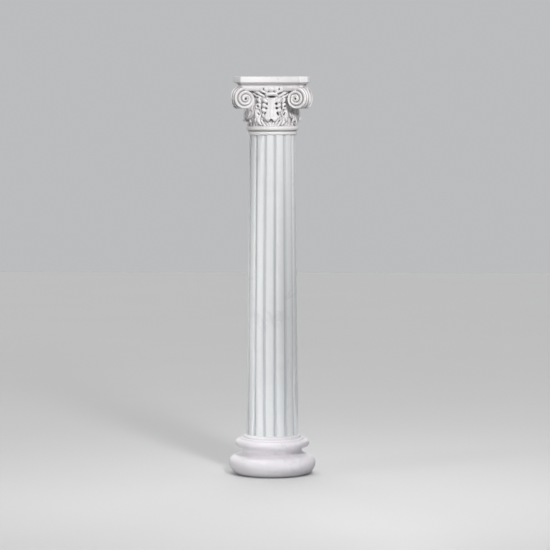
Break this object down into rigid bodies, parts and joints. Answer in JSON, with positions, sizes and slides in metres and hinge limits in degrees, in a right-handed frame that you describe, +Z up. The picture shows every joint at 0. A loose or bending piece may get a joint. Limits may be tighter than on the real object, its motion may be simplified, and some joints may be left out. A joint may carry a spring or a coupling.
{
  "type": "composite column",
  "caption": "Free-standing white marble column with a moulded round base, a tapered fluted shaft and a composite capital of angled volutes and acanthus leaves.",
  "frame": {"origin": "centre of the column's underside, on the surface that it stands on", "axes": "+Z up along the column's axis, -Y out of the face that the viewer sees, +X to that viewer's right"},
  "size_m": [0.5879, 0.588, 2.7],
  "materials": {
    "base_marble": "white marble with a faint lilac cast, honed",
    "shaft_marble": "white marble with a faint cool cast, honed",
    "capital_marble": "white marble, carved and rubbed smooth"
  },
  "bodies": {
    "root": {"base": "base_marble", "shaft": "shaft_marble", "capital": "capital_marble"}
  },
  "joints": []
}
